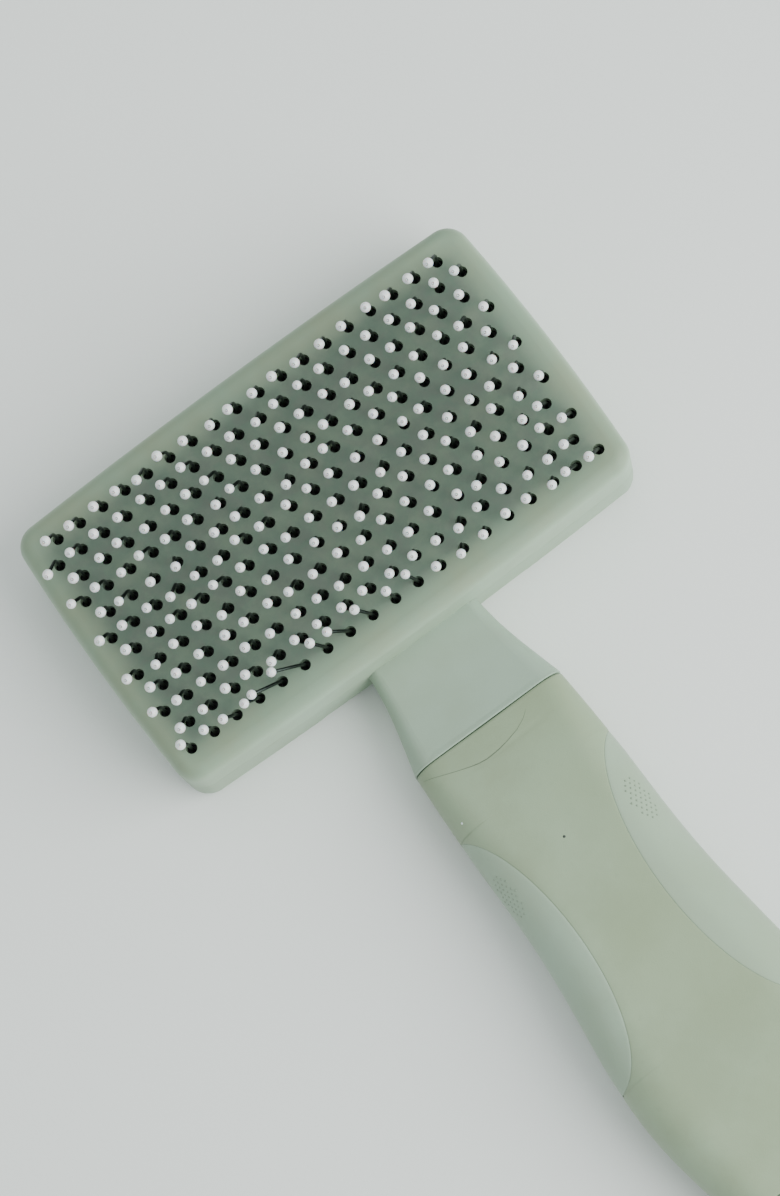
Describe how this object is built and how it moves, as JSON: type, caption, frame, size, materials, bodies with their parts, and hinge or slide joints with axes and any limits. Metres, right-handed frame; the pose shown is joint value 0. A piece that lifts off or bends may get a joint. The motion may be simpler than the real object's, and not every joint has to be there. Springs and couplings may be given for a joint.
{
  "type": "slicker brush",
  "caption": "Rectangular pet grooming brush with fine ball-tipped wire pins that slide back into a perforated face, and a straight soft-grip handle.",
  "frame": {"origin": "centre of the flat back of the head, on the surface it lies on", "axes": "+Z out through the pins, +Y along the handle's line and away from the handle, +X along the head's long side"},
  "size_m": [0.103, 0.195, 0.031],
  "materials": {
    "shell_plastic": "matte moulded",
    "plate_plastic": "matte moulded",
    "grip_rubber": "soft touch",
    "pad_rubber": "soft touch",
    "carrier_plastic": "moulded",
    "pin_wire": "dark drawn wire",
    "pin_tip": "dipped",
    "spring_steel": "plain",
    "screw_steel": "zinc plated"
  },
  "bodies": {
    "shell": {"face_shell": "shell_plastic", "rear_shell": "shell_plastic", "handle_front": "shell_plastic", "grip_sleeve": "grip_rubber", "side_pad_left": "pad_rubber", "side_pad_right": "pad_rubber", "end_cap": "shell_plastic", "head_screws": "screw_steel", "neck_screws": "screw_steel", "handle_screws": "screw_steel", "return_spring_1": "spring_steel", "return_spring_2": "spring_steel", "return_spring_3": "spring_steel", "return_spring_4": "spring_steel", "latch_spring": "spring_steel"},
    "carriage": {"pin_carrier": "carrier_plastic", "pin_backing_plate": "carrier_plastic", "push_plate": "plate_plastic", "carriage_screws": "screw_steel", "latch_clip": "spring_steel", "latch_rivets": "screw_steel", "pins_row_01": "pin_wire", "pins_row_02": "pin_wire", "pins_row_03": "pin_wire", "pins_row_04": "pin_wire", "pins_row_05": "pin_wire", "pins_row_06": "pin_wire", "pins_row_07": "pin_wire", "pins_row_08": "pin_wire", "pins_row_09": "pin_wire", "pins_row_10": "pin_wire", "pins_row_11": "pin_wire", "pins_row_12": "pin_wire", "tips_row_01": "pin_tip", "tips_row_02": "pin_tip", "tips_row_03": "pin_tip", "tips_row_04": "pin_tip", "tips_row_05": "pin_tip", "tips_row_06": "pin_tip", "tips_row_07": "pin_tip", "tips_row_08": "pin_tip", "tips_row_09": "pin_tip", "tips_row_10": "pin_tip", "tips_row_11": "pin_tip", "tips_row_12": "pin_tip"},
    "button": {"release_button": "plate_plastic"},
    "latch": {"latch_slide": "carrier_plastic"}
  },
  "joints": [
    {"name": "carriage_slide", "type": "slide", "parent": "shell", "child": "carriage", "axis": [0, 0, 1], "range_m": [-0.009, 0], "deforming": ["return_spring_1", "return_spring_2", "return_spring_3", "return_spring_4", "latch_clip"]},
    {"name": "button_press", "type": "slide", "parent": "shell", "child": "button", "axis": [0, 0, 1], "range_m": [0, 0.0014], "stiffness_N_per_m": 500, "springref_m": -0.0006, "deforming": ["latch_spring"]},
    {"name": "latch_travel", "type": "slide", "parent": "shell", "child": "latch", "axis": [0, 1, 0], "range_m": [0, 0.0014]}
  ],
  "couplings": [
    {"joint": "latch_travel", "follows": "button_press", "ratio": 1}
  ]
}
